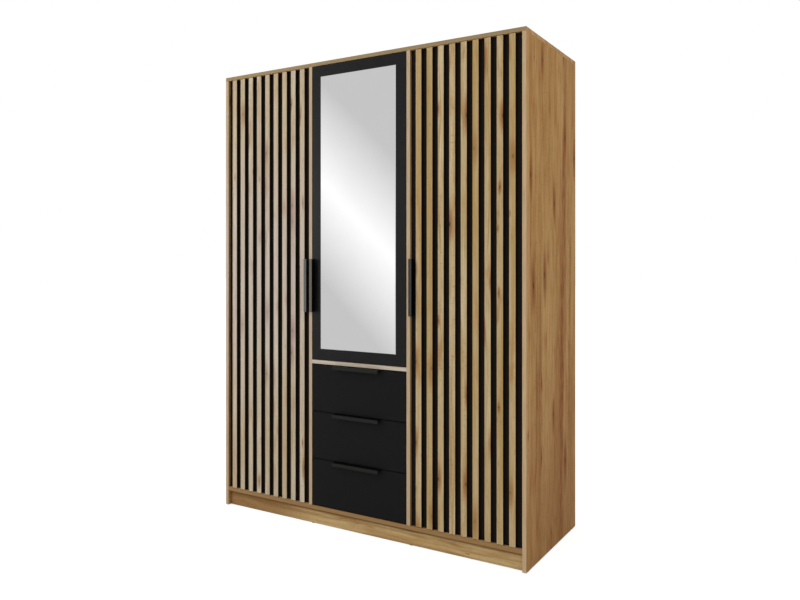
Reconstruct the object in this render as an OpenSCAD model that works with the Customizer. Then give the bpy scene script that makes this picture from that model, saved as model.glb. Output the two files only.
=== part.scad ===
// Wardrobe with two slatted doors, a mirror door and three drawers.
// Front faces -Y, +X is to the right, +Z is up. The origin is on the floor,
// in the middle of the whole outline, handles included.

/* [Carcass] */
// Outside width
width = 1500; // [1480:1:1700]
// Outside height, glides included
height = 2010; // [1950:1:2200]
// Depth of the side panels, front edge to rear edge
depth = 570; // [540:1:640]
// Thickness of every carcass board
board = 16; // [16:1:18]
// Thickness of the hardboard back
back_t = 3; // [2.5:0.5:4]
// Height of the bottom board's underside above the floor
plinth_h = 70; // [60:1:90]
// How far the plinth stands behind the front plane
plinth_set = 16; // [10:1:30]
// Height of the underside of the fixed shelf above the drawers
mid_shelf_z = 703; // [690:1:720]

/* [Fronts] */
// Gap round every inset door and drawer front
gap = 2; // [2:0.1:2.5]
// Thickness of the slats' strips
slat_t = 12; // [10:0.5:12]
// Width of one slat
slat_w = 25; // [20:1:25]
// Number of slats on a door
slat_count = 9; // [7:1:9]
// Width of the black border round the mirror
mirror_border = 47.5; // [35:0.5:60]
// Thickness of the mirror glass
mirror_t = 4; // [3:1:4]

/* [Handles] */
// Length of a handle
handle_l = 230; // [160:1:320]
// Width of a handle's front lip
handle_w = 15; // [14:0.5:18]
// How far a handle stands out from the face it is screwed to
handle_out = 24; // [20:1:28]
// How far the handle of a slatted door stands out from the slats
slat_handle_out = 18; // [14:1:20]
// Height of the middle of the door handles above the floor
handle_z = 1042; // [950:1:1100]

/* [Inside] */
// Height of the underside of the hat shelf
hat_shelf_z = 1690; // [1600:1:1750]
// Outside diameter of the hanging rail
rail_d = 25; // [22:1:30]
// How far the loose shelves stand behind the front plane
shelf_set = 60; // [55:1:90]
// Length of the drawer slides
slide_l = 450; // [400:50:450]
// Height of the sides of a drawer box
box_h = 130; // [100:1:150]

/* [Hidden] */
$fn = 48;
glide_h = 3;
bay_w = (width - 4 * board) / 3;
bay_pitch = bay_w + board;
front_w = bay_w - 2 * gap;
front_y = -(depth + handle_out) / 2 + handle_out;
rear_y = front_y + depth;
top_z = height - board;
floor_z = plinth_h + board;
inner_d = depth - back_t;

door_z = floor_z + gap;
door_h = top_z - floor_z - 2 * gap;
mirror_door_z = mid_shelf_z + board + gap;
mirror_door_h = top_z - gap - mirror_door_z;
drawer_pitch = (mid_shelf_z - floor_z - gap) / 3;
drawer_h = drawer_pitch - gap;
slat_pitch = 2 * slat_w;
slat_edge = (front_w - (slat_count - 1) * slat_pitch - slat_w) / 2;

// Cup hinges, measured from the hinge side's board and from the door board's front face.
cup_x = gap + 22;
cup_r = 17.5;
cup_depth = 12.5;
pin_x = 22;
pin_y = 7.5;
pin_r = 1.6;
eye_r = 2.9;
arm_w = 12;
arm_t = 2.4;
arm_angle = 39;
arm_back_y = 35;
arm_end_y = 96;
plate_t = 5;
hinge_inset = 100;

// Drawers
side_gap = 13;
box_t = 12;
box_w = bay_w - 2 * side_gap;
box_z = 22;
bottom_t = 3;
slide_z = box_z + 45;
slide_back = 4;
rail_gap = 0.35;

// Shelf heights (undersides) in the middle and right bays
middle_shelf_zs = [for (i = [1:3]) mid_shelf_z + board + i * 290];
right_shelf_zs = [for (i = [1:4]) floor_z + i * (top_z - floor_z) / 5 - board / 2];
pin_len = 16;
shelf_pin_r = 2.5;
pin_hole_r = 2.6;
shelf_d = depth - shelf_set - back_t;
pin_ys = [shelf_set + 45, depth - 60];

// Fittings of the carcass
screw_ys = [60, depth - 60];
cam_r = 7.5;
cam_h = 12.5;
cam_x = width / 2 - board - 34;
cam_ys = [80, depth - 80];
rail_z = hat_shelf_z - 50;
rail_y = depth / 2;
bracket_t = 4;
wall_hole_r = 3.25;
wall_hole_z = top_z - 25;

oak = "#b8946a";
black = "#232322";
dark_metal = "#3a3a38";
steel = "#b9bcc0";
hardboard = "#c9bfae";
white_board = "#e4e1da";

function bay_x(i) = -width / 2 + board + i * bay_pitch;

// ---- Helpers ----

// A box from a low corner and a size.
module block(low, size) {
    translate(low)
        cube(size);
}

// Draws in a bay's frame: x from the bay's left board, y from the front plane inwards.
module in_bay(i) {
    translate([bay_x(i), front_y, 0])
        children();
}

// The same, with x measured from the bay's right board towards the left.
module in_bay_mirrored(i) {
    translate([bay_x(i) + bay_w, front_y, 0])
        mirror([1, 0, 0])
            children();
}

// Bores for shelf pins in a board's face at x; the bay is on the side that side points to.
module pin_bores(x, side, zs) {
    for (z = zs, y = pin_ys)
        translate([x, front_y + y, z - shelf_pin_r])
            rotate([0, side * 90, 0])
                translate([0, 0, -pin_len / 2])
                    cylinder(r = pin_hole_r, h = pin_len / 2 + 1);
}

// ---- Carcass boards ----

// A side panel with its outer face at x = 0, reaching to x = board, rebated for the back.
module side_board() {
    difference() {
        block([0, front_y, glide_h], [board, depth, top_z - glide_h]);
        block([board / 2, rear_y - back_t, plinth_h], [board, back_t + 1, height]);
        screw_pilots(board / 2);
    }
}

// Pilot holes for the screws that come down through the top.
module screw_pilots(x) {
    for (y = screw_ys)
        translate([x, front_y + y, top_z - 50 + board])
            cylinder(r = 3, h = 50);
}

module side_left() {
    color(oak)
        translate([-width / 2, 0, 0])
            side_board();
}

module side_right() {
    color(oak)
        difference() {
            translate([width / 2, 0, 0])
                mirror([1, 0, 0])
                    side_board();
            pin_bores(width / 2 - board, -1, right_shelf_zs);
        }
}

module top_panel() {
    uprights = [for (i = [0:3]) -width / 2 + board / 2 + i * bay_pitch];
    color(oak)
        difference() {
            block([-width / 2, front_y, top_z], [width, depth, board]);
            block([-width / 2 + board / 2, rear_y - back_t, top_z - 1], [width - board, back_t + 1, 9]);
            for (x = uprights, y = screw_ys)
                translate([x, front_y + y, top_z]) {
                    translate([0, 0, -1])
                        cylinder(r = 3.6, h = board + 2);
                    translate([0, 0, board - 4])
                        cylinder(r = 5.2, h = 5);
                }
        }
}

module bottom_panel() {
    color(oak)
        difference() {
            block([-width / 2 + board, front_y, plinth_h], [width - 2 * board, inner_d, board]);
            for (x = [-cam_x, cam_x], y = cam_ys)
                translate([x, front_y + y, plinth_h - 1])
                    cylinder(r = cam_r + 0.1, h = cam_h + 1);
        }
}

// Cam discs in the underside of the bottom board.
module cam_locks() {
    color(steel)
        for (x = [-cam_x, cam_x], y = cam_ys)
            translate([x, front_y + y, plinth_h + 0.5])
                difference() {
                    cylinder(r = cam_r, h = cam_h - 0.5);
                    block([-5, -0.75, -1], [10, 1.5, 3]);
                    block([-0.75, -5, -1], [1.5, 10, 3]);
                }
}

// An upright between two bays; i is the bay on its left.
module partition_board(i) {
    x = bay_x(i) + bay_w;
    difference() {
        block([x, front_y, floor_z], [board, inner_d, top_z - floor_z]);
        screw_pilots(x + board / 2);
        if (i == 0)
            pin_bores(x + board, 1, middle_shelf_zs);
        if (i == 1) {
            pin_bores(x, -1, middle_shelf_zs);
            pin_bores(x + board, 1, right_shelf_zs);
        }
    }
}

module partition_left() {
    color(oak)
        partition_board(0);
}

module partition_right() {
    color(oak)
        partition_board(1);
}

module middle_shelf() {
    color(oak)
        in_bay(1)
            block([0, 0, mid_shelf_z], [bay_w, inner_d, board]);
}

// Three hardboard sheets nailed to the rear edges of the boards.
module back_panels() {
    edges = [-width / 2 + board / 2, bay_x(0) + bay_w + board / 2,
             bay_x(1) + bay_w + board / 2, width / 2 - board / 2];
    color(hardboard)
        difference() {
            for (i = [0:2])
                block([edges[i] + 0.2, rear_y - back_t, plinth_h],
                      [edges[i + 1] - edges[i] - 0.4, back_t, top_z + 8 - plinth_h]);
            for (s = [-1, 1])
                translate([s * bay_pitch, rear_y - back_t - 1, wall_hole_z])
                    rotate([-90, 0, 0])
                        cylinder(r = wall_hole_r, h = back_t + 2);
        }
}

module plinth_front() {
    color(oak)
        block([-width / 2 + board, front_y + plinth_set, glide_h],
              [width - 2 * board, board, plinth_h - glide_h]);
}

module plinth_rear() {
    color(oak)
        block([-width / 2 + board, rear_y - 60, glide_h],
              [width - 2 * board, board, plinth_h - glide_h]);
}

// Nail-in plastic glides under the sides and the plinth boards.
module floor_glides() {
    color(black) {
        for (x = [-1, 1] * (width - board) / 2, y = [30, depth - 30])
            translate([x, front_y + y, 0])
                glide();
        for (x = [-1, 1] * bay_pitch / 2, y = [plinth_set, depth - 60])
            translate([x, front_y + y + board / 2, 0])
                glide();
    }
}

module glide() {
    rotate_extrude()
        polygon([[0, 0], [6.5, 0], [7.5, 1], [7.5, glide_h], [0, glide_h]]);
}

// ---- Inside ----

module hat_shelf() {
    color(oak)
        in_bay(0)
            block([0, shelf_set, hat_shelf_z], [bay_w, shelf_d, board]);
}

module loose_shelves(zs) {
    for (z = zs)
        block([1, shelf_set, z], [bay_w - 2, shelf_d - 2, board]);
}

module loose_shelves_middle() {
    color(oak)
        in_bay(1)
            loose_shelves(middle_shelf_zs);
}

module loose_shelves_right() {
    color(oak)
        in_bay(2)
            loose_shelves(right_shelf_zs);
}

module bay_pins(zs) {
    for (z = zs, y = pin_ys) {
        for (x = [-pin_len / 2 + 0.5, bay_w - pin_len / 2])
            translate([x, y, z - shelf_pin_r])
                rotate([0, 90, 0])
                    cylinder(r = shelf_pin_r, h = pin_len - 0.5);
        for (x = [0.05, bay_w - 1.55])
            translate([x, y, z - shelf_pin_r])
                rotate([0, 90, 0])
                    difference() {
                        cylinder(r = 4.5, h = 1.5);
                        translate([-10, -10, -1])
                            cube([10 - shelf_pin_r, 20, 4]);
                    }
    }
}

module shelf_pins() {
    color(steel) {
        in_bay(1)
            bay_pins(middle_shelf_zs);
        in_bay(2)
            bay_pins(right_shelf_zs);
    }
}

module hanging_rail() {
    color("#d5d7da")
        in_bay(0)
            translate([bracket_t, rail_y, rail_z])
                rotate([0, 90, 0])
                    difference() {
                        cylinder(d = rail_d, h = bay_w - 2 * bracket_t);
                        translate([0, 0, -1])
                            cylinder(d = rail_d - 3, h = bay_w);
                    }
}

// A flange cup for one end of the rail, with two screw heads.
module rail_bracket() {
    rotate([0, 90, 0]) {
        difference() {
            union() {
                cylinder(r = 24, h = bracket_t - 0.1);
                cylinder(d = rail_d + 7, h = 16);
            }
            translate([0, 0, bracket_t - 0.1])
                cylinder(d = rail_d + 0.4, h = 20);
        }
        for (a = [0, 180])
            rotate([0, 0, a])
                translate([20, 0, bracket_t - 0.5])
                    cylinder(r1 = 3.6, r2 = 2.4, h = 2);
    }
}

module rail_brackets() {
    color(steel) {
        in_bay(0)
            translate([0, rail_y, rail_z])
                rail_bracket();
        in_bay_mirrored(0)
            translate([0, rail_y, rail_z])
                rail_bracket();
    }
}

// Steel angles under the top that tie the wardrobe to the wall.
module wall_brackets() {
    color(steel)
        for (s = [-1, 1])
            translate([s * bay_pitch, 0, 0])
                difference() {
                    union() {
                        block([-15, rear_y - back_t - 2, top_z - 45], [30, 2, 45]);
                        block([-15, rear_y - back_t - 40, top_z - 2], [30, 40, 2]);
                        translate([0, rear_y - back_t - 25, top_z - 4])
                            cylinder(r = 4, h = 3);
                    }
                    translate([0, rear_y - back_t - 3, wall_hole_z])
                        rotate([-90, 0, 0])
                            cylinder(r = wall_hole_r, h = 4);
                }
}

// Confirmat screws down through the top into the uprights.
module carcass_screws() {
    color(steel)
        for (i = [0:3], y = screw_ys)
            translate([-width / 2 + board / 2 + i * bay_pitch, front_y + y, height]) {
                translate([0, 0, -49])
                    cylinder(r = 2.9, h = 46);
                difference() {
                    translate([0, 0, -4])
                        cylinder(r = 5, h = 4);
                    translate([0, 0, -2.5])
                        cylinder(r = 2, h = 4, $fn = 6);
                }
            }
}

// ---- Hinges ----
// A hinge's own frame has x from the hinge side's board and y from the door board's front face.

function tall_hinge_zs() = [for (i = [0:3])
    door_z + hinge_inset + i * (door_h - 2 * hinge_inset) / 3];
function mirror_hinge_zs() = [for (i = [0:2])
    mirror_door_z + hinge_inset + i * (mirror_door_h - 2 * hinge_inset) / 2];

// The recess for a cup, cut from the door board's inner face.
module cup_recess() {
    translate([cup_x, board - cup_depth, 0])
        rotate([-90, 0, 0])
            cylinder(r = cup_r + 0.1, h = cup_depth + 1);
}

// Cup, flange, screws and pin, all fixed to the door.
module hinge_cup() {
    difference() {
        union() {
            translate([cup_x, board - cup_depth + 0.1, 0])
                rotate([-90, 0, 0])
                    cylinder(r = cup_r, h = cup_depth);
            cup_flange();
        }
        translate([cup_x, board - cup_depth + 0.8, 0])
            rotate([-90, 0, 0])
                cylinder(r = cup_r - 0.8, h = cup_depth + 5);
    }
    translate([pin_x, pin_y, 0])
        cylinder(r = pin_r, h = 2 * cup_r - 1, center = true);
    for (s = [-1, 1])
        translate([cup_x + 6, board + 1.4, s * 24])
            rotate([-90, 0, 0])
                screw_head(4);
}

// Flange round the cup's mouth with a straight strip for its two screws.
module cup_flange() {
    translate([cup_x, board + 0.05, 0])
        rotate([-90, 0, 0])
            linear_extrude(1.45) {
                circle(r = cup_r + 1.4);
                translate([-4, -30])
                    square([17, 60]);
            }
}

module screw_head(r) {
    difference() {
        cylinder(r1 = r, r2 = r - 1.2, h = 1.6);
        block([-r / 2, -0.4, 0.8], [r, 0.8, 2]);
        block([-0.4, -r / 2, 0.8], [0.8, r, 2]);
    }
}

// Outline of the gooseneck: straight out of the cup, round the door's edge, back to the side.
function neck_points() =
    let (reach = 26.5,
         tip = [pin_x + reach * cos(arm_angle), pin_y + reach * sin(arm_angle)],
         nx = -sin(arm_angle) * arm_t / 2,
         ny = cos(arm_angle) * arm_t / 2)
    [
        [pin_x - nx, pin_y - ny],
        [tip[0] - nx + 1.2, tip[1] - ny + 1],
        [tip[0] + 0.8, tip[1] + 4],
        [pin_x + 13, arm_back_y + 7],
        [6, arm_back_y + 7],
        [6, arm_back_y],
        [pin_x + 10.5, arm_back_y],
        [tip[0] + nx - 0.6, tip[1] + ny + 0.6],
        [pin_x + nx, pin_y + ny],
    ];

module hinge_arm() {
    translate([0, 0, -arm_w / 2])
        difference() {
            union() {
                linear_extrude(arm_w)
                    polygon(neck_points());
                translate([pin_x, pin_y, 0])
                    cylinder(r = eye_r, h = arm_w);
                block([plate_t + 0.1, arm_back_y, 0], [9, arm_end_y - arm_back_y, arm_w]);
            }
            translate([pin_x, pin_y, -1])
                cylinder(r = pin_r + 0.06, h = arm_w + 2);
        }
    for (y = [arm_back_y + 22, arm_end_y - 12])
        translate([plate_t + 9, y, 0])
            rotate([0, 90, 0])
                screw_head(4.5);
}

// Cruciform mounting plate on the side board.
module hinge_plate() {
    block([0, arm_back_y + 14, -6.5], [plate_t, arm_end_y - arm_back_y - 12, 13]);
    block([0, arm_back_y + 26, -24], [2.5, 12, 48]);
    for (s = [-1, 1])
        translate([2.4, arm_back_y + 32, s * 16])
            rotate([0, 90, 0])
                screw_head(4);
}

module each_hinge(zs, y) {
    for (z = zs)
        translate([0, y, z])
            children();
}

module hinge_arms() {
    color(steel) {
        in_bay(0)
            each_hinge(tall_hinge_zs(), slat_t)
                hinge_arm();
        in_bay_mirrored(1)
            each_hinge(mirror_hinge_zs(), 0)
                hinge_arm();
        in_bay_mirrored(2)
            each_hinge(tall_hinge_zs(), slat_t)
                hinge_arm();
    }
}

module hinge_plates() {
    color(steel) {
        in_bay(0)
            each_hinge(tall_hinge_zs(), slat_t)
                hinge_plate();
        in_bay_mirrored(1)
            each_hinge(mirror_hinge_zs(), 0)
                hinge_plate();
        in_bay_mirrored(2)
            each_hinge(tall_hinge_zs(), slat_t)
                hinge_plate();
    }
}

// ---- Handle profile ----
// Lies along z, its outer side at x = 0 and its body towards +x, screwed to the face at y = 0
// and standing out towards -y: flange on the face, web along the outer side, lip in front.
module handle_profile(length, out) {
    web = 2.2;
    lip = 2.6;
    linear_extrude(length, center = true)
        difference() {
            translate([0, -out])
                square([handle_w, out]);
            translate([web, -out + lip])
                square([handle_w, out - lip - 2]);
            translate([handle_w, -out])
                rotate(45)
                    square(1.4, center = true);
            translate([0, -out])
                rotate(45)
                    square(1.4, center = true);
        }
}

// ---- Slatted doors, hinged on the bay's board at x = 0 ----

module slat_door_panel() {
    color(black)
        difference() {
            block([gap, slat_t, door_z], [front_w, board, door_h]);
            each_hinge(tall_hinge_zs(), slat_t)
                cup_recess();
        }
}

module slat_door_slats() {
    color(oak)
        for (i = [0:slat_count - 1])
            block([gap + slat_edge + i * slat_pitch, 0, door_z], [slat_w, slat_t, door_h]);
}

module slat_door_cups() {
    color(steel)
        each_hinge(tall_hinge_zs(), slat_t)
            hinge_cup();
}

module slat_door_handle() {
    color(dark_metal)
        translate([gap + front_w, slat_t, handle_z])
            mirror([1, 0, 0])
                handle_profile(handle_l, slat_t + slat_handle_out);
}

module left_door_panel() {
    in_bay(0)
        slat_door_panel();
}

module left_door_slats() {
    in_bay(0)
        slat_door_slats();
}

module left_door_handle() {
    in_bay(0)
        slat_door_handle();
}

module left_door_hinge_cups() {
    in_bay(0)
        slat_door_cups();
}

module right_door_panel() {
    in_bay_mirrored(2)
        slat_door_panel();
}

module right_door_slats() {
    in_bay_mirrored(2)
        slat_door_slats();
}

module right_door_handle() {
    in_bay_mirrored(2)
        slat_door_handle();
}

module right_door_hinge_cups() {
    in_bay_mirrored(2)
        slat_door_cups();
}

// ---- Mirror door, hinged on the right board of the middle bay ----

module mirror_door_panel() {
    color(black)
        in_bay_mirrored(1)
            difference() {
                block([gap, 0, mirror_door_z], [front_w, board, mirror_door_h]);
                each_hinge(mirror_hinge_zs(), 0)
                    cup_recess();
            }
}

// Glass with a narrow ground bevel round its front.
module mirror_glass() {
    w = front_w - 2 * mirror_border;
    h = mirror_door_h - 2 * mirror_border;
    bevel = 1.5;
    color("#c8ccd0")
        in_bay_mirrored(1)
            translate([gap + mirror_border, 0, mirror_door_z + mirror_border])
                intersection() {
                    linear_extrude(h)
                        polygon([[0, 0], [0, bevel - mirror_t], [bevel, -mirror_t],
                                 [w - bevel, -mirror_t], [w, bevel - mirror_t], [w, 0]]);
                    rotate([90, 0, 90])
                        linear_extrude(w)
                            polygon([[0, 0], [bevel - mirror_t, 0], [-mirror_t, bevel],
                                     [-mirror_t, h - bevel], [bevel - mirror_t, h], [0, h]]);
                }
}

module mirror_door_handle() {
    color(dark_metal)
        in_bay_mirrored(1)
            translate([gap + front_w, 0, handle_z])
                mirror([1, 0, 0])
                    handle_profile(handle_l, handle_out);
}

module mirror_door_hinge_cups() {
    color(steel)
        in_bay_mirrored(1)
            each_hinge(mirror_hinge_zs(), 0)
                hinge_cup();
}

// ---- Drawers; n counts from the lowest ----

// Draws in a drawer's frame: z from the underside of its front.
module in_drawer(n) {
    in_bay(1)
        translate([0, 0, floor_z + gap + (n - 1) * drawer_pitch])
            children();
}

module drawer_front(n) {
    color(black)
        in_drawer(n)
            block([gap, 0, 0], [front_w, board, drawer_h]);
}

module drawer_handle(n) {
    color(dark_metal)
        in_drawer(n)
            translate([bay_w / 2, 0, drawer_h])
                rotate([0, 90, 0])
                    handle_profile(handle_l, handle_out);
}

// Both sides of the box, grooved for the bottom.
module drawer_sides(n) {
    color(white_board)
        in_drawer(n)
            difference() {
                for (x = [side_gap, bay_w - side_gap - box_t])
                    block([x, board + 0.05, box_z], [box_t, slide_l, box_h]);
                bottom_groove();
            }
}

// Inner front and back of the box.
module drawer_ends(n) {
    color(white_board)
        in_drawer(n)
            difference() {
                for (y = [board + 0.05, board + slide_l - box_t])
                    block([side_gap + box_t + 0.05, y, box_z],
                          [box_w - 2 * box_t - 0.1, box_t, box_h]);
                bottom_groove();
            }
}

module bottom_groove() {
    block([side_gap + box_t - 6, board + box_t - 6, box_z + 10],
          [box_w - 2 * box_t + 12, slide_l - 2 * box_t + 12, bottom_t + 0.2]);
}

module drawer_bottom(n) {
    color(hardboard)
        in_drawer(n)
            block([side_gap + box_t - 5.5, board + box_t - 5.5, box_z + 10.1],
                  [box_w - 2 * box_t + 11, slide_l - 2 * box_t + 11, bottom_t]);
}

// Ball-bearing slides: three nested channels, the outer one on the carcass.
// A channel's own frame has x from the carcass board, z from its middle line.
module channel(x, w, h, t, y, length) {
    difference() {
        block([x, y, -h / 2], [w, length, h]);
        block([x + t, y - 1, -h / 2 + t], [w, length + 2, h - 2 * t]);
    }
}

module both_slides(n) {
    in_drawer(n)
        translate([0, 0, slide_z])
            children();
    translate([2 * bay_x(1) + bay_w, 0, 0])
        mirror([1, 0, 0])
            in_drawer(n)
                translate([0, 0, slide_z])
                    children();
}

module slide_outer(n) {
    color(steel)
        both_slides(n)
            channel(0, side_gap - 0.4, 45, 1.2, board + slide_back, slide_l);
}

module slide_middle(n) {
    color(steel)
        both_slides(n)
            channel(1.2 + rail_gap, side_gap - 2.6, 45 - 2 * (1.2 + rail_gap), 1.2,
                    board + slide_back, slide_l - 8);
}

// The inner member opens towards the carcass and is screwed to the box.
module slide_inner(n) {
    inner_h = 45 - 2 * (2.4 + 2 * rail_gap);
    color(steel)
        both_slides(n)
            difference() {
                block([side_gap - 8, board + slide_back, -inner_h / 2],
                      [7.95, slide_l - 14, inner_h]);
                block([side_gap - 9, board + slide_back - 1, -inner_h / 2 + 1.2],
                      [7.75, slide_l, inner_h - 2.4]);
            }
}

side_left();
side_right();
top_panel();
bottom_panel();
partition_left();
partition_right();
middle_shelf();
back_panels();
plinth_front();
plinth_rear();
hat_shelf();
loose_shelves_middle();
loose_shelves_right();
hanging_rail();
rail_brackets();
shelf_pins();
hinge_arms();
hinge_plates();
floor_glides();
wall_brackets();
carcass_screws();
cam_locks();
left_door_panel();
left_door_slats();
left_door_handle();
left_door_hinge_cups();
right_door_panel();
right_door_slats();
right_door_handle();
right_door_hinge_cups();
mirror_door_panel();
mirror_glass();
mirror_door_handle();
mirror_door_hinge_cups();
drawer_front(1);  // drawer_1_front
drawer_handle(1);  // drawer_1_handle
drawer_sides(1);  // drawer_1_sides
drawer_ends(1);  // drawer_1_ends
drawer_bottom(1);  // drawer_1_bottom
slide_outer(1);  // drawer_1_slide_outer
slide_middle(1);  // drawer_1_slide_middle
slide_inner(1);  // drawer_1_slide_inner
drawer_front(2);  // drawer_2_front
drawer_handle(2);  // drawer_2_handle
drawer_sides(2);  // drawer_2_sides
drawer_ends(2);  // drawer_2_ends
drawer_bottom(2);  // drawer_2_bottom
slide_outer(2);  // drawer_2_slide_outer
slide_middle(2);  // drawer_2_slide_middle
slide_inner(2);  // drawer_2_slide_inner
drawer_front(3);  // drawer_3_front
drawer_handle(3);  // drawer_3_handle
drawer_sides(3);  // drawer_3_sides
drawer_ends(3);  // drawer_3_ends
drawer_bottom(3);  // drawer_3_bottom
slide_outer(3);  // drawer_3_slide_outer
slide_middle(3);  // drawer_3_slide_middle
slide_inner(3);  // drawer_3_slide_inner
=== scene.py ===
"""A three-bay wardrobe: oak-decor carcass, slatted doors, a mirror door and three black drawers."""
import math

import bmesh
import bpy
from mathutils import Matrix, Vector


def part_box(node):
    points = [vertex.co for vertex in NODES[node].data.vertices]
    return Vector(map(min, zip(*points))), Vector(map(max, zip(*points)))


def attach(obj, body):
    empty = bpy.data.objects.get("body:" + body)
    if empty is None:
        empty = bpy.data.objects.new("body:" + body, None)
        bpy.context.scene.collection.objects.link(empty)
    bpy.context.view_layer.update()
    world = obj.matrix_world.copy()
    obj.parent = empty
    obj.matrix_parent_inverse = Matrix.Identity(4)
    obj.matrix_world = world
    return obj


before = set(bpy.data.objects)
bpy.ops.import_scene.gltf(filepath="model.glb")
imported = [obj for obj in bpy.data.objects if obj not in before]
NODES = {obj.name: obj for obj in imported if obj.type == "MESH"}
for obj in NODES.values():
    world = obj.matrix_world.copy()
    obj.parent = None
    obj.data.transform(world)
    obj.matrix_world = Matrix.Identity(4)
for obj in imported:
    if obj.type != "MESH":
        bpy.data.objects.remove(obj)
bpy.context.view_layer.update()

FRONT_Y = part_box("side_right")[0].y
REAR_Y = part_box("side_right")[1].y
DOORS = ("left_door", "mirror_door", "right_door")
DRAWERS = (1, 2, 3)
CARCASS_BOARDS = ["side_left", "side_right", "partition_left", "partition_right", "top_panel",
                  "bottom_panel", "middle_shelf", "hat_shelf", "loose_shelves_middle",
                  "loose_shelves_right", "plinth_front", "plinth_rear"]
DRAWER_FRONTS = [f"drawer_{n}_front" for n in DRAWERS]
DRAWER_HANDLES = [f"drawer_{n}_handle" for n in DRAWERS]
HINGE_CUPS = [f"{door}_hinge_cups" for door in DOORS]


# ---------------------------------------------------------------- material helpers

class Surface:
    """A material with one principled shader, and short ways to add the nodes that feed it."""

    def __init__(self, name):
        self.material = bpy.data.materials.new(name)
        self.material.use_nodes = True
        self.tree = self.material.node_tree
        self.tree.nodes.clear()
        output = self.put("ShaderNodeOutputMaterial")
        self.shader = self.put("ShaderNodeBsdfPrincipled")
        self.tree.links.new(self.shader.outputs["BSDF"], output.inputs["Surface"])
        self.place = self.put("ShaderNodeTexCoord").outputs["Object"]
        self.x, self.y, self.z = self.put("ShaderNodeSeparateXYZ", {0: self.place}).outputs

    def put(self, kind, inputs=None, **settings):
        """Adds a node; an input may be a value or another node's output."""
        node = self.tree.nodes.new(kind)
        for key, value in settings.items():
            setattr(node, key, value)
        for key, value in (inputs or {}).items():
            self.plug(node.inputs[key], value)
        return node

    def plug(self, socket, value):
        if isinstance(value, bpy.types.NodeSocket):
            self.tree.links.new(value, socket)
        else:
            socket.default_value = value

    def give(self, name, value):
        self.plug(self.shader.inputs[name], value)

    def math(self, operation, a, b=0.0):
        return self.put("ShaderNodeMath", {0: a, 1: b}, operation=operation).outputs[0]

    def add(self, a, b):
        return self.math("ADD", a, b)

    def sub(self, a, b):
        return self.math("SUBTRACT", a, b)

    def mul(self, a, b):
        return self.math("MULTIPLY", a, b)

    def ramp(self, value, low, high, to_low=0.0, to_high=1.0, kind="SMOOTHSTEP"):
        """Carries value from low..high to to_low..to_high, held flat outside."""
        return self.put("ShaderNodeMapRange", {
            "Value": value, "From Min": low, "From Max": high, "To Min": to_low, "To Max": to_high,
        }, interpolation_type=kind).outputs["Result"]

    def near(self, value, centre, width):
        """1 where value is at centre, falling to 0 at width away from it."""
        return self.ramp(self.math("ABSOLUTE", self.sub(value, centre)), 0.0, width, 1.0, 0.0)

    def blend(self, factor, a, b, mode="MIX"):
        """Mixes two colours; inputs 6 and 7 and output 2 are the node's colour sockets."""
        node = self.put("ShaderNodeMix", data_type="RGBA", blend_type=mode)
        for slot, value in ((0, factor), (6, a), (7, b)):
            self.plug(node.inputs[slot], value)
        return node.outputs[2]

    def vector(self, x, y, z=0.0):
        return self.put("ShaderNodeCombineXYZ", {0: x, 1: y, 2: z}).outputs[0]

    def noise(self, coords, scale=1.0, detail=2.0, roughness=0.5):
        return self.put("ShaderNodeTexNoise", {
            "Vector": coords, "Scale": scale, "Detail": detail, "Roughness": roughness}).outputs[0]

    def relief(self, height, strength, distance):
        node = self.put("ShaderNodeBump", {"Height": height, "Strength": strength, "Distance": distance})
        self.tree.links.new(node.outputs["Normal"], self.shader.inputs["Normal"])


def srgb(r, g, b):
    """A colour given as it looks on screen, as linear RGBA."""
    def linear(v):
        v /= 255
        return v / 12.92 if v <= 0.04045 else ((v + 0.055) / 1.055) ** 2.4
    return (linear(r), linear(g), linear(b), 1.0)


# ---------------------------------------------------------------- oak decor

CORE_BLACK = srgb(14, 12, 11)
# The grey of the painted sheen on the front faces at the left
SHEEN_GREY = srgb(193, 187, 194)
# Depths behind the front plane: of the edge band's skin, and of the foil round a slat's edges
BAND_SKIN = 0.0004
FOIL_WRAP = 0.0020


class Tones:
    """The colours one oak surface runs through, from its palest wood to its knots."""

    def __init__(self, pale, mid, gold, rust, brown, knot):
        self.pale = srgb(*pale)
        self.mid = srgb(*mid)
        self.gold = srgb(*gold)
        self.rust = srgb(*rust)
        self.brown = srgb(*brown)
        self.knot = srgb(*knot)


def knot_masks(skin, at, cells, knots):
    """The cores and the halos of knots, one knot to each cell of a grid stretched along the grain.

    In most cells the knot is too small to see. knots scales the size of the others.
    """
    wide, tall = 1 / cells[0], 1 / cells[1]
    spot = at(cells[0], cells[1])
    cell = skin.put("ShaderNodeTexVoronoi", {"Vector": spot, "Scale": 1.0, "Randomness": 0.9},
                    voronoi_dimensions="2D", feature="F1")
    offset = skin.put("ShaderNodeVectorMath", {0: spot, 1: cell.outputs["Position"]},
                      operation="SUBTRACT")
    off_x, off_y, _ = skin.put("ShaderNodeSeparateXYZ", {0: offset.outputs[0]}).outputs
    crumble = skin.mul(skin.sub(skin.noise(at(160.0, 110.0), detail=3.0), 0.5), 0.004)
    pick = skin.put("ShaderNodeSeparateColor", {0: cell.outputs["Color"]}).outputs[0]
    size = skin.ramp(pick, 0.40, 0.95, 0.0001, 0.0062 * knots)

    def radii(stretch):
        """Distance from the knot's middle in knot sizes, on ovals stretch times as long as wide."""
        flat = skin.vector(skin.mul(off_x, wide), skin.mul(off_y, tall / stretch))
        metres = skin.put("ShaderNodeVectorMath", {0: flat}, operation="LENGTH").outputs["Value"]
        return skin.math("DIVIDE", skin.add(metres, crumble), size)

    core = skin.ramp(radii(1.7), 0.2, 1.3, 1.0, 0.0)
    halo = skin.ramp(radii(4.0), 0.6, 4.6, 1.0, 0.0)
    return core, halo


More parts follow.
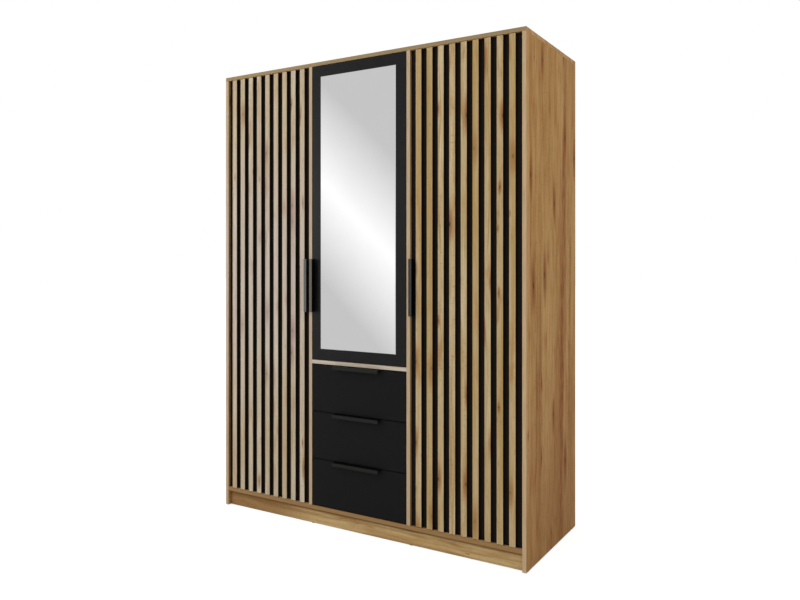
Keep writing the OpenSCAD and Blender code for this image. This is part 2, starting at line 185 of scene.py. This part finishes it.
def oak(name, grain, seed, tones, knots=1.0, pitch=None, slat_front=None, edge=None, streaks=(),
        shade_and_tone_ramps=(), cells=(8.0, 2.5), gloss=0.14, stripes=0.85):
    """Oak decor foil.

    grain: the axis that the grain runs along. knots: how large the knots are, 1 being usual.
    pitch: (start, step) parts single slats along X. slat_front: the slats' front plane, behind
    which their sides turn black. edge: (plane, tone) of the edge band at the front. streaks:
    darker bands along a side panel. The darkening ramps: (axis, plain end, darkened end, strength)
    of a slow darkening towards brown, which is painted shade or a change of tone. cells: knots per
    metre across and along the grain. gloss: the specular level.
    stripes: how strongly the narrow golden stripes show.
    """
    skin = Surface(name)
    if grain == "Z":
        along = skin.z
        across = skin.add(skin.x, skin.mul(skin.y, 1.31))
    else:
        along = skin.x
        across = skin.add(skin.z, skin.mul(skin.y, 1.31))
    # piece numbers the slats, so that each has knots and grain of its own
    piece = seed
    if pitch:
        start, step = pitch
        piece = skin.add(skin.math("FLOOR", skin.math("DIVIDE", skin.sub(skin.x, start), step)), seed)
        along = skin.add(along, skin.mul(piece, 3.71))
        across = skin.add(across, skin.mul(piece, 0.173))

    def at(across_scale, along_scale, layer=0.0):
        """Coordinates for one noise; each layer number gives a pattern of its own."""
        return skin.vector(skin.mul(across, across_scale), skin.mul(along, along_scale),
                           skin.add(piece, layer))

    # Slow waves bend the grain a little
    bend = skin.sub(skin.noise(at(3.0, 1.4), detail=2.0), 0.5)
    across = skin.add(across, skin.mul(bend, 0.06))

    core, halo = knot_masks(skin, at, cells, knots)

    # Tones, from broad to fine
    broad = skin.noise(at(13.0, 0.7), detail=3.0, roughness=0.55)
    streak = skin.noise(at(58.0, 1.2, 3.1), detail=4.0, roughness=0.62)
    heart = skin.noise(at(24.0, 0.8, 7.7), detail=3.0, roughness=0.6)
    fleck = skin.noise(at(95.0, 16.0, 1.9), detail=3.0, roughness=0.6)
    rays = skin.noise(at(55.0, 150.0, 2.2), detail=2.0, roughness=0.6)
    patch = skin.noise(at(26.0, 5.0, 4.4), detail=4.0, roughness=0.65)
    fine = skin.noise(at(420.0, 9.0, 5.3), detail=3.0, roughness=0.65)
    pores = skin.noise(at(1300.0, 55.0, 9.1), detail=1.0)
    color = skin.blend(skin.ramp(broad, 0.38, 0.62), tones.mid, tones.pale)
    color = skin.blend(skin.ramp(streak, 0.45, 0.66, 0.0, stripes), color, tones.gold)
    color = skin.blend(skin.ramp(patch, 0.40, 0.68, 0.0, 0.5), color, tones.gold)
    color = skin.blend(skin.ramp(patch, 0.56, 0.74, 0.0, 0.75), color, tones.rust)
    color = skin.blend(skin.ramp(heart, 0.58, 0.80, 0.0, 0.6), color, tones.brown)
    for share, width, strength, height, reach_z in streaks:
        ragged = skin.add(skin.y, skin.mul(skin.add(skin.sub(streak, 0.5), bend), 0.07))
        level = skin.near(skin.add(skin.z, skin.mul(skin.sub(broad, 0.5), 2.0)), height, reach_z)
        band = skin.near(ragged, FRONT_Y + share * (REAR_Y - FRONT_Y), width)
        band = skin.mul(band, skin.mul(level, strength))
        color = skin.blend(skin.mul(band, 0.8), color, tones.rust)
        color = skin.blend(skin.mul(band, skin.ramp(fleck, 0.35, 0.65)), color, tones.brown)
    color = skin.blend(skin.mul(halo, 0.85), color, tones.rust)
    color = skin.blend(skin.mul(skin.mul(halo, halo), 0.6), color, tones.brown)
    color = skin.blend(skin.ramp(fleck, 0.58, 0.78, 0.0, 0.45), color, tones.brown)
    rays = skin.mul(skin.ramp(rays, 0.58, 0.72, 0.0, 0.5), skin.ramp(heart, 0.42, 0.60))
    color = skin.blend(rays, color, tones.brown)
    color = skin.blend(skin.ramp(fine, 0.35, 0.70, 0.0, 0.26), color, tones.gold, "MULTIPLY")
    color = skin.blend(skin.ramp(pores, 0.60, 0.72, 0.0, 0.32), color, tones.brown)
    color = skin.blend(skin.mul(core, 0.9), color, tones.knot)
    # Slow darkenings towards brown: painted shade low on the side panels, a painted shadow along the
    # plinth's top, and the plinth's darker left end
    for axis, plain_end, dark_end, strength in shade_and_tone_ramps:
        darkening = skin.ramp(getattr(skin, axis), plain_end, dark_end, 0.0, strength)
        color = skin.blend(darkening, color, tones.brown)
    if pitch:
        # Each slat is cut from another part of the board
        toss = skin.put("ShaderNodeTexWhiteNoise", {"W": piece}, noise_dimensions="1D").outputs[0]
        color = skin.blend(skin.ramp(toss, 0.0, 1.0, 0.0, 0.55, "LINEAR"), color, tones.gold)
    if edge:
        plane, tone = edge
        band = skin.ramp(skin.y, plane + BAND_SKIN, plane + 2 * BAND_SKIN, 1.0, 0.0)
        banded = skin.blend(skin.ramp(fine, 0.3, 0.75, 0.0, 0.35), srgb(*tone), tones.brown)
        color = skin.blend(band, color, banded)
    # Painted sheen: the front faces at the left of the wardrobe are paled a little to grey at half
    # height, a painted reflection of the bright front left
    painted_sheen = skin.mul(skin.ramp(skin.x, -0.15, -0.35), skin.near(skin.z, 1.08, 0.85))
    front = skin.ramp(skin.y, FRONT_Y + FOIL_WRAP / 2, FRONT_Y + FOIL_WRAP, 0.3, 0.0)
    painted_sheen = skin.mul(painted_sheen, front)
    color = skin.blend(painted_sheen, color, SHEEN_GREY)
    if slat_front is not None:
        # The foil wraps the face and a little of each side; the rest is black
        bare = skin.ramp(skin.y, slat_front + FOIL_WRAP, slat_front + 1.3 * FOIL_WRAP)
        color = skin.blend(bare, color, CORE_BLACK)
    skin.give("Base Color", color)
    skin.give("Roughness", skin.ramp(fine, 0.3, 0.7, 0.48, 0.62))
    skin.give("Specular IOR Level", gloss)
    skin.relief(skin.sub(fine, skin.mul(pores, 0.4)), 0.16, 0.0004)
    return skin.material


# ---------------------------------------------------------------- other materials

def speckled(name, dark, light, scale, rough, spec=0.5, metallic=0.0, depth=0.08):
    """A surface whose colour, roughness and relief follow one fine noise and one broad one."""
    skin = Surface(name)
    fine = skin.noise(skin.place, scale, 3.0, 0.6)
    broad = skin.noise(skin.place, scale * 0.02, 3.0, 0.6)
    both = skin.add(skin.mul(fine, 0.6), skin.mul(broad, 0.4))
    skin.give("Base Color", skin.blend(skin.ramp(both, 0.35, 0.65), dark, light))
    skin.give("Roughness", skin.ramp(both, 0.3, 0.7, rough[0], rough[1]))
    skin.give("Specular IOR Level", spec)
    skin.give("Metallic", metallic)
    skin.relief(fine, depth, 0.0003)
    return skin.material


def front_black():
    """Black drawer fronts, with painted shade as a blacker rim along each front's edges, where the gaps
    between the fronts are.
    """
    skin = Surface("front_black")
    grit = skin.noise(skin.place, 900.0, 3.0, 0.6)
    color = skin.blend(skin.ramp(grit, 0.35, 0.65), srgb(16, 16, 16), srgb(21, 21, 21))
    # Painted shade: a near-black rim along the edges of each front, for the dark gaps between them
    gap_shade_rim = 0.0
    for name in DRAWER_FRONTS:
        low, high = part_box(name)
        for value, edge in ((skin.z, low.z), (skin.z, high.z), (skin.x, low.x), (skin.x, high.x)):
            gap_shade_rim = skin.math("MAXIMUM", gap_shade_rim, skin.near(value, edge, 0.0022))
    skin.give("Base Color", skin.blend(gap_shade_rim, color, srgb(1, 1, 1)))
    skin.give("Roughness", skin.ramp(grit, 0.3, 0.7, 0.42, 0.52))
    skin.give("Specular IOR Level", 0.07)
    skin.relief(grit, 0.08, 0.0003)
    return skin.material


def nail_row(skin, side, place, along):
    """A mask that is 1 on round heads spaced evenly along a line."""
    pitch = 0.11
    radius = 0.0024
    step = skin.sub(skin.math("FRACT", skin.math("DIVIDE", along, pitch)), 0.5)
    offset = skin.vector(skin.sub(side, place), skin.mul(step, pitch))
    far = skin.put("ShaderNodeVectorMath", {0: offset}, operation="LENGTH").outputs["Value"]
    return skin.ramp(far, radius * 0.85, radius, 1.0, 0.0)


def nail_heads(skin):
    """A mask of the nail heads along the edges of the three back sheets."""
    low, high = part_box("back_panels")
    inset = 0.006
    upright_rows = [low.x + inset, high.x - inset]
    for partition in ("partition_left", "partition_right"):
        left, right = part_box(partition)
        middle = (left.x + right.x) / 2
        upright_rows += [middle - inset * 0.8, middle + inset * 0.8]
    heads = 0.0
    for x in upright_rows:
        heads = skin.math("MAXIMUM", heads, nail_row(skin, skin.x, x, skin.z))
    for z in (low.z + inset, high.z - inset):
        heads = skin.math("MAXIMUM", heads, nail_row(skin, skin.z, z, skin.x))
    return skin.mul(heads, skin.ramp(skin.y, high.y - 0.0010, high.y - 0.0005))


def hardboard_material(name, nailed):
    """Pressed fibreboard, with the nail heads of the back sheets if nailed."""
    skin = Surface(name)
    pressed = skin.put("ShaderNodeMapping", {"Vector": skin.place, "Scale": (1, 1, 2.2)}).outputs[0]
    fibre = skin.noise(pressed, 420.0, 4.0, 0.7)
    cloud = skin.noise(skin.place, 2.2, 4.0, 0.6)
    color = skin.blend(skin.ramp(fibre, 0.35, 0.65), srgb(186, 166, 138), srgb(204, 187, 162))
    color = skin.blend(skin.ramp(cloud, 0.3, 0.7, 0.0, 0.3), color, srgb(176, 154, 124))
    rough = skin.ramp(fibre, 0.3, 0.7, 0.52, 0.68)
    metal = 0.0
    if nailed:
        heads = nail_heads(skin)
        color = skin.blend(heads, color, srgb(150, 150, 148))
        rough = skin.add(rough, skin.mul(heads, -0.25))
        metal = heads
    skin.give("Base Color", color)
    skin.give("Roughness", rough)
    skin.give("Metallic", metal)
    skin.give("Specular IOR Level", 0.3)
    skin.relief(fibre, 0.12, 0.0003)
    return skin.material


def painted_light_handle_coat(name, face, plane):
    """Black powder coat with a painted highlight: the front face of the profile, at plane, is painted
    the lighter tone face, mottled a little, while its sides stay black.
    """
    skin = Surface(name)
    grit = skin.noise(skin.place, 1400.0, 3.0, 0.6)
    highlight_mottle = skin.noise(skin.place, 45.0, 3.0, 0.6)
    coat = skin.blend(skin.ramp(grit, 0.35, 0.65), srgb(4, 4, 4), srgb(9, 9, 9))
    dull = srgb(*(0.8 * v for v in face))
    painted_highlight = skin.blend(skin.ramp(highlight_mottle, 0.3, 0.7, 0.0, 0.25), srgb(*face), dull)
    front = skin.ramp(skin.y, plane + 0.0003, plane + 0.0008, 1.0, 0.0)
    skin.give("Base Color", skin.blend(front, coat, painted_highlight))
    skin.give("Roughness", skin.ramp(grit, 0.3, 0.7, 0.44, 0.56))
    skin.give("Specular IOR Level", 0.10)
    skin.relief(grit, 0.15, 0.0003)
    return skin.material


def mirror_material():
    """Silvered glass: a clear reflection with the faintest haze of dust."""
    skin = Surface("mirror_silver")
    dust = skin.noise(skin.place, 9.0, 6.0, 0.7)
    tone = skin.blend(skin.ramp(dust, 0.3, 0.7), srgb(249, 249, 249), srgb(251, 251, 251))
    skin.give("Base Color", tone)
    skin.give("Roughness", skin.ramp(dust, 0.35, 0.8, 0.004, 0.010))
    skin.give("Metallic", 1.0)
    return skin.material


# ---------------------------------------------------------------- CAD nodes get their looks

def dress(names, material):
    for name in names:
        node = NODES[name]
        node.data.materials.clear()
        node.data.materials.append(material)


def soften(names, width, segments=2):
    """Rounds the sharp edges of CAD nodes with modifiers, leaving their meshes alone."""
    for name in names:
        node = NODES[name]
        weld = node.modifiers.new("weld", "WELD")
        weld.merge_threshold = 0.00001
        bevel = node.modifiers.new("soft_edges", "BEVEL")
        bevel.width = width
        bevel.segments = segments
        bevel.limit_method = "ANGLE"
        bevel.angle_limit = math.radians(40)
        bevel.use_clamp_overlap = True
        bevel.harden_normals = False


CARCASS_TONES = Tones(pale=(190, 158, 112), mid=(176, 138, 90), gold=(156, 114, 66),
                      rust=(150, 100, 56), brown=(120, 78, 42), knot=(58, 34, 18))
SIDE_TONES = Tones(pale=(184, 147, 94), mid=(169, 129, 76), gold=(152, 109, 56),
                   rust=(148, 94, 48), brown=(116, 66, 24), knot=(60, 34, 14))
PLINTH_TONES = Tones(pale=(194, 168, 120), mid=(178, 146, 96), gold=(150, 114, 62),
                     rust=(146, 102, 52), brown=(114, 76, 34), knot=(52, 30, 16))
# The left door's slats are paler and cooler than the right's: oak tones with a painted sheen, the haze
# of reflected light, mixed into them
LEFT_SHEEN_TONES = Tones(pale=(194, 183, 163), mid=(180, 166, 140), gold=(166, 143, 106),
                   rust=(156, 118, 80), brown=(120, 86, 54), knot=(50, 32, 20))
RIGHT_TONES = Tones(pale=(196, 179, 146), mid=(181, 159, 119), gold=(163, 133, 80),
                    rust=(156, 108, 64), brown=(120, 76, 40), knot=(46, 28, 16))
PALE_EDGE = (179, 158, 128)
GOLDEN_EDGE = (187, 162, 126)
SHELF_EDGE = (190, 180, 164)
TOP_EDGE = (143, 124, 90)
BOTTOM_EDGE = (143, 112, 70)

# Slats stand a pitch apart; each one's share of the board starts a lead before it
SLAT_PITCH = 0.05
SLAT_LEAD = 0.0125
# Knots per metre across and along the grain
SLAT_KNOTS = (24.0, 3.4)
SIDE_KNOTS = (6.0, 2.2)
left_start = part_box("left_door_slats")[0].x - SLAT_LEAD
right_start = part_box("right_door_slats")[0].x - SLAT_LEAD
# Share of the side panel's depth, width, strength, height, and reach up and down
SIDE_STREAKS = (
    (0.55, 0.500, 0.28, 0.20, 1.0),
    (0.68, 0.040, 0.95, 0.55, 1.3),
    (0.74, 0.036, 0.90, 1.60, 0.9),
    (0.86, 0.030, 0.60, 0.95, 0.9),
    (0.24, 0.030, 0.35, 0.30, 1.0),
    (0.08, 0.020, 0.40, 1.50, 1.4),
)
# Axis, plain end, darkened end and strength of each slow darkening towards brown
# Painted shade: the side panels darken towards the bottom
SIDE_SHADE_RAMPS = (("z", 0.9, 0.1, 0.14),)
# The plinth darkens towards the left, and its top carries a painted shadow under the bottom board's edge
PLINTH_TONE_AND_SHADE_RAMPS = (("x", -0.20, -0.50, 0.55), ("z", 0.053, 0.062, 0.85))
SIDE_LOOK = {"streaks": SIDE_STREAKS, "shade_and_tone_ramps": SIDE_SHADE_RAMPS, "cells": SIDE_KNOTS, "gloss": 0.08,
             "stripes": 0.4}

oak_upright = oak("oak_upright", "Z", 3.0, CARCASS_TONES, edge=(FRONT_Y, PALE_EDGE))
oak_side_left = oak("oak_side_left", "Z", 19.0, SIDE_TONES, 1.5, edge=(FRONT_Y, PALE_EDGE), **SIDE_LOOK)
oak_side_right = oak("oak_side_right", "Z", 11.0, SIDE_TONES, 1.5, edge=(FRONT_Y, GOLDEN_EDGE),
                     **SIDE_LOOK)
oak_flat = oak("oak_flat", "X", 5.0, CARCASS_TONES)
oak_top = oak("oak_top", "X", 14.0, CARCASS_TONES, edge=(FRONT_Y, TOP_EDGE))
oak_bottom = oak("oak_bottom", "X", 17.0, CARCASS_TONES, edge=(FRONT_Y, BOTTOM_EDGE))
oak_shelf = oak("oak_shelf", "X", 9.0, CARCASS_TONES, edge=(FRONT_Y, SHELF_EDGE))
oak_plinth = oak("oak_plinth", "X", 23.0, PLINTH_TONES, 0.8, shade_and_tone_ramps=PLINTH_TONE_AND_SHADE_RAMPS)
oak_slats_left = oak("oak_slats_left", "Z", 31.0, LEFT_SHEEN_TONES, 0.9, (left_start, SLAT_PITCH), FRONT_Y,
                     cells=SLAT_KNOTS, gloss=0.3)
oak_slats_right = oak("oak_slats_right", "Z", 57.0, RIGHT_TONES, 1.0, (right_start, SLAT_PITCH), FRONT_Y,
                      cells=SLAT_KNOTS)
slat_board = speckled("slat_board", srgb(21, 16, 12), srgb(26, 20, 16), 900.0, (0.42, 0.52), 0.06)
drawer_black = front_black()
black_frame = speckled("black_frame", srgb(15, 15, 15), srgb(20, 20, 20), 900.0, (0.30, 0.38), 0.16)
door_handle_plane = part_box("left_door_handle")[0].y
proud_handle_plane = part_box("mirror_door_handle")[0].y
# Four copies of the coat, each with its front face painted its own lighter tone, a painted highlight for
# the light it catches
left_handle_coat_painted_light = painted_light_handle_coat("left_handle_coat_painted_light", (93, 92, 90), door_handle_plane)
mirror_handle_coat_painted_light = painted_light_handle_coat("mirror_handle_coat_painted_light", (98, 91, 82), proud_handle_plane)
right_handle_coat_painted_light = painted_light_handle_coat("right_handle_coat_painted_light", (57, 55, 51), door_handle_plane)
drawer_handle_coat_painted_light = painted_light_handle_coat("drawer_handle_coat_painted_light", (30, 30, 29), proud_handle_plane)
zinc = speckled("zinc_steel", srgb(150, 152, 155), srgb(186, 188, 190), 300.0, (0.24, 0.38), 0.5, 1.0)
chrome = speckled("chrome_rail", srgb(205, 206, 208), srgb(222, 223, 225), 60.0, (0.06, 0.14), 0.5, 1.0,
                  0.02)
hardboard = hardboard_material("hardboard", False)
nailed_hardboard = hardboard_material("nailed_hardboard", True)
drawer_white = speckled("drawer_board", srgb(206, 203, 196), srgb(219, 217, 211), 800.0, (0.45, 0.58),
                        0.4)
plastic = speckled("black_plastic", srgb(30, 30, 30), srgb(42, 42, 42), 1200.0, (0.4, 0.55), 0.5)
mirror_silver = mirror_material()

dress(["side_left"], oak_side_left)
dress(["side_right"], oak_side_right)
dress(["partition_left", "partition_right"], oak_upright)
dress(["hat_shelf", "loose_shelves_middle", "loose_shelves_right"], oak_flat)
dress(["top_panel"], oak_top)
dress(["bottom_panel"], oak_bottom)
dress(["middle_shelf"], oak_shelf)
dress(["plinth_front", "plinth_rear"], oak_plinth)
dress(["left_door_slats"], oak_slats_left)
dress(["right_door_slats"], oak_slats_right)
dress(["left_door_panel", "right_door_panel"], slat_board)
dress(DRAWER_FRONTS, drawer_black)
dress(["mirror_door_panel"], black_frame)
dress(["left_door_handle"], left_handle_coat_painted_light)
dress(["mirror_door_handle"], mirror_handle_coat_painted_light)
dress(["right_door_handle"], right_handle_coat_painted_light)
dress(DRAWER_HANDLES, drawer_handle_coat_painted_light)
dress(HINGE_CUPS + ["rail_brackets", "shelf_pins", "hinge_arms", "hinge_plates", "wall_brackets",
                    "carcass_screws", "cam_locks"], zinc)
dress([f"drawer_{n}_slide_{part}" for n in DRAWERS for part in ("outer", "middle", "inner")], zinc)
dress(["hanging_rail"], chrome)
dress(["back_panels"], nailed_hardboard)
dress([f"drawer_{n}_bottom" for n in DRAWERS], hardboard)
dress([f"drawer_{n}_{part}" for n in DRAWERS for part in ("sides", "ends")], drawer_white)
dress(["floor_glides"], plastic)
dress(["mirror_glass"], mirror_silver)

soften(CARCASS_BOARDS + [f"{door}_panel" for door in DOORS] + DRAWER_FRONTS, 0.0006)
soften(["left_door_slats", "right_door_slats"], 0.0008)
soften([f"{door}_handle" for door in DOORS] + DRAWER_HANDLES, 0.0005)
soften(HINGE_CUPS + ["hinge_plates", "hinge_arms", "rail_brackets", "wall_brackets"], 0.0003, 1)


# ---------------------------------------------------------------- added pieces

# Radius and height of a screw's head
HANDLE_SCREW = (0.0038, 0.0022)
FRONT_SCREW = (0.0036, 0.0018)
# Thickness of a drawer box's end, with a hair's gap, and where its screws stand along X and up Z
END_THICKNESS = 0.0121
FRONT_SCREW_X = (-0.18, -0.06, 0.06, 0.18)
FRONT_SCREW_LEVELS = (0.3, 0.75)


def add_piece(name, bm, material, body):
    """Turns a bmesh into a piece that moves with a body."""
    mesh = bpy.data.meshes.new(name)
    bmesh.ops.recalc_face_normals(bm, faces=bm.faces)
    bm.to_mesh(mesh)
    bm.free()
    piece = bpy.data.objects.new(name, mesh)
    bpy.context.scene.collection.objects.link(piece)
    mesh.materials.append(material)
    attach(piece, body)
    return piece


def add_screw(bm, base, axis, radius, height):
    """A domed screw head with a six-lobed recess, its underside centred at base."""
    turn = Vector((0, 0, 1)).rotation_difference(Vector(axis)).to_matrix()
    sides = 24
    lobes = 6
    rings = [(1.0, 0.0), (1.0, 0.25), (0.93, 0.55), (0.75, 0.85), (0.52, 1.0), (0.40, 1.0), (0.36, 0.3)]
    loops = []
    for share, lift in rings:
        loop = []
        for k in range(sides):
            angle = 2 * math.pi * k / sides
            reach = radius * share
            if share < 0.5:
                reach *= 1.0 + 0.12 * math.cos(lobes * angle)
            spot = Vector((reach * math.cos(angle), reach * math.sin(angle), height * lift))
            loop.append(bm.verts.new(Vector(base) + turn @ spot))
        loops.append(loop)
    for lower, upper in zip(loops, loops[1:]):
        for k in range(sides):
            after = (k + 1) % sides
            face = bm.faces.new((lower[k], lower[after], upper[after], upper[k]))
            face.smooth = True
    bm.faces.new(loops[-1])
    bm.faces.new(tuple(reversed(loops[0])))


def screws(name, spots, head, body):
    """Screws with their heads facing the rear, as one piece."""
    bm = bmesh.new()
    for spot in spots:
        add_screw(bm, spot, (0, 1, 0), *head)
    add_piece(name, bm, zinc, body)


def handle_screws(door):
    """Two machine screws through the door board into the flange of its handle."""
    low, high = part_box(f"{door}_handle")
    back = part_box(f"{door}_panel")[1].y
    middle = (low.z + high.z) / 2
    reach = 0.35 * (high.z - low.z)
    spots = [((low.x + high.x) / 2, back, middle + side * reach) for side in (-1, 1)]
    screws(f"{door}_handle_screws", spots, HANDLE_SCREW, door)


def drawer_screws(n):
    """Screws behind a drawer front: two for the handle, eight that hold the box to the front."""
    low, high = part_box(f"drawer_{n}_handle")
    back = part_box(f"drawer_{n}_front")[1].y
    reach = 0.42 * (high.x - low.x)
    spots = [(side * reach, back, (low.z + high.z) / 2) for side in (-1, 1)]
    screws(f"drawer_{n}_handle_screws", spots, HANDLE_SCREW, f"drawer_{n}")
    floor_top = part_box(f"drawer_{n}_bottom")[1].z
    box_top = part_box(f"drawer_{n}_ends")[1].z
    inner = back + END_THICKNESS
    spots = [(x, inner, floor_top + level * (box_top - floor_top))
             for x in FRONT_SCREW_X for level in FRONT_SCREW_LEVELS]
    screws(f"drawer_{n}_front_screws", spots, FRONT_SCREW, f"drawer_{n}")


def mirror_bead():
    """A thin bead of adhesive in the corner between the glass and the door board."""
    low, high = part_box("mirror_glass")
    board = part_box("mirror_door_panel")[0].y
    wide = 0.0014
    proud = 0.0011
    bm = bmesh.new()
    section = ((0.0, board - proud), (wide * 0.7, board - proud * 0.45), (wide, board), (0.0, board))
    rings = []
    for grow, y in section:
        corners = ((low.x - grow, low.z - grow), (high.x + grow, low.z - grow),
                   (high.x + grow, high.z + grow), (low.x - grow, high.z + grow))
        rings.append([bm.verts.new((x, y, z)) for x, z in corners])
    for k in range(len(rings)):
        one, two = rings[k], rings[(k + 1) % len(rings)]
        for c in range(4):
            d = (c + 1) % 4
            bm.faces.new((one[c], one[d], two[d], two[c]))
    add_piece("mirror_bead", bm, plastic, "mirror_door")


for door in DOORS:
    handle_screws(door)
for n in DRAWERS:
    drawer_screws(n)
mirror_bead()


# ---------------------------------------------------------------- studio

# Where the surrounding light is strongest, and its weakest and strongest level
WORLD_BRIGHT_SIDE = (-0.6, -0.7, 0.38)
WORLD_GLOW = (0.45, 0.90)


def make_plane(name, corners):
    mesh = bpy.data.meshes.new(name)
    mesh.from_pydata(corners, [], [(0, 1, 2, 3)])
    plane = bpy.data.objects.new(name, mesh)
    bpy.context.scene.collection.objects.link(plane)
    return plane


def floor():
    half = 30.0
    plane = make_plane("floor", [(-half, -half, 0), (half, -half, 0), (half, half, 0), (-half, half, 0)])
    skin = Surface("floor_paint")
    cloud = skin.noise(skin.place, 3.0, 3.0)
    skin.give("Base Color", skin.blend(cloud, (0.70, 0.70, 0.70, 1), (0.74, 0.74, 0.74, 1)))
    skin.give("Roughness", 0.8)
    skin.give("Specular IOR Level", 0.0)
    skin.give("Emission Color", (1.0, 1.0, 1.0, 1.0))
    seen = skin.put("ShaderNodeLightPath").outputs["Is Camera Ray"]
    skin.give("Emission Strength", skin.mul(seen, 0.6))
    plane.data.materials.append(skin.material)


# The bright band on the card runs along z = BAND_Z + BAND_SLOPE * x and fades out over BAND_HALF
BAND_SLOPE = -0.936
BAND_Z = -1.1245
BAND_HALF = 1.14
BAND_GLOW = 1.06
CARD_GLOW = 0.585
SOFTBOX_GLOW = 7.0


def reflection_card():
    """A softly lit card in front and to the left, which the mirror door reflects."""
    y = -4.5
    left, right, low, high = -9.0, -1.7, 0.02, 5.0
    corners = [(left, y, low), (right, y, low), (right, y, high), (left, y, high)]
    card = make_plane("reflection_card", corners)
    skin = Surface("card_glow")
    ridge = skin.add(skin.mul(skin.x, BAND_SLOPE), BAND_Z)
    off = skin.math("ABSOLUTE", skin.sub(skin.z, ridge))
    skin.give("Base Color", (0.0, 0.0, 0.0, 1.0))
    skin.give("Specular IOR Level", 0.0)
    skin.give("Emission Color", (1.0, 1.0, 1.0, 1.0))
    band = skin.ramp(off, 0.0, BAND_HALF, BAND_GLOW, CARD_GLOW, "LINEAR")
    # A softbox glows at the card's left and fades out to the right, up and down
    tall = skin.mul(skin.ramp(skin.z, 0.3, 1.6), skin.ramp(skin.z, 2.0, 3.2, 1.0, 0.0))
    softbox = skin.mul(skin.ramp(skin.x, -4.8, -3.6, SOFTBOX_GLOW, 0.0), tall)
    skin.give("Emission Strength", skin.add(band, softbox))
    card.data.materials.append(skin.material)
    card.visible_camera = False
    card.visible_diffuse = False
    card.visible_shadow = False


def studio_world():
    """White all round for the camera; the light itself is stronger from the front left."""
    world = bpy.data.worlds.new("studio")
    bpy.context.scene.world = world
    world.use_nodes = True
    nodes = world.node_tree.nodes
    links = world.node_tree.links
    nodes.clear()
    output = nodes.new("ShaderNodeOutputWorld")
    place = nodes.new("ShaderNodeTexCoord")
    toward = nodes.new("ShaderNodeVectorMath")
    toward.operation = "DOT_PRODUCT"
    toward.inputs[1].default_value = WORLD_BRIGHT_SIDE
    glow = nodes.new("ShaderNodeMapRange")
    glow.inputs["From Min"].default_value = -1.0
    glow.inputs["To Min"].default_value = WORLD_GLOW[0]
    glow.inputs["To Max"].default_value = WORLD_GLOW[1]
    lit = nodes.new("ShaderNodeBackground")
    lit.inputs["Color"].default_value = (1.0, 1.0, 1.0, 1.0)
    white = nodes.new("ShaderNodeBackground")
    white.inputs["Color"].default_value = (1.0, 1.0, 1.0, 1.0)
    seen = nodes.new("ShaderNodeLightPath")
    mix = nodes.new("ShaderNodeMixShader")
    links.new(place.outputs["Generated"], toward.inputs[0])
    links.new(toward.outputs["Value"], glow.inputs["Value"])
    links.new(glow.outputs["Result"], lit.inputs["Strength"])
    links.new(seen.outputs["Is Camera Ray"], mix.inputs[0])
    links.new(lit.outputs[0], mix.inputs[1])
    links.new(white.outputs[0], mix.inputs[2])
    links.new(mix.outputs[0], output.inputs["Surface"])


def area_light(name, place, aim, size, power):
    light = bpy.data.lights.new(name, "AREA")
    light.shape = "SQUARE"
    light.size = size
    light.energy = power
    lamp = bpy.data.objects.new(name, light)
    lamp.location = place
    lamp.rotation_euler = (Vector(aim) - Vector(place)).to_track_quat("-Z", "Y").to_euler()
    lamp.visible_glossy = False
    bpy.context.scene.collection.objects.link(lamp)


def camera():
    """Standing right of the middle, level, with the verticals upright."""
    data = bpy.data.cameras.new("camera")
    data.sensor_width = 36.0
    data.lens = 33.3
    data.shift_y = -0.0493
    eye = bpy.data.objects.new("camera", data)
    eye.location = (1.758, -2.833, 1.150)
    eye.rotation_euler = (math.radians(90), 0, math.radians(31.18))
    bpy.context.scene.collection.objects.link(eye)
    bpy.context.scene.camera = eye


floor()
reflection_card()
studio_world()
area_light("key", (-2.6, -3.3, 3.6), (0, 0, 1.2), 2.0, 100)
area_light("fill", (3.9, -0.9, 3.0), (0.7, 0, 1.3), 2.0, 46)
camera()
bpy.context.scene.view_settings.view_transform = "Standard"
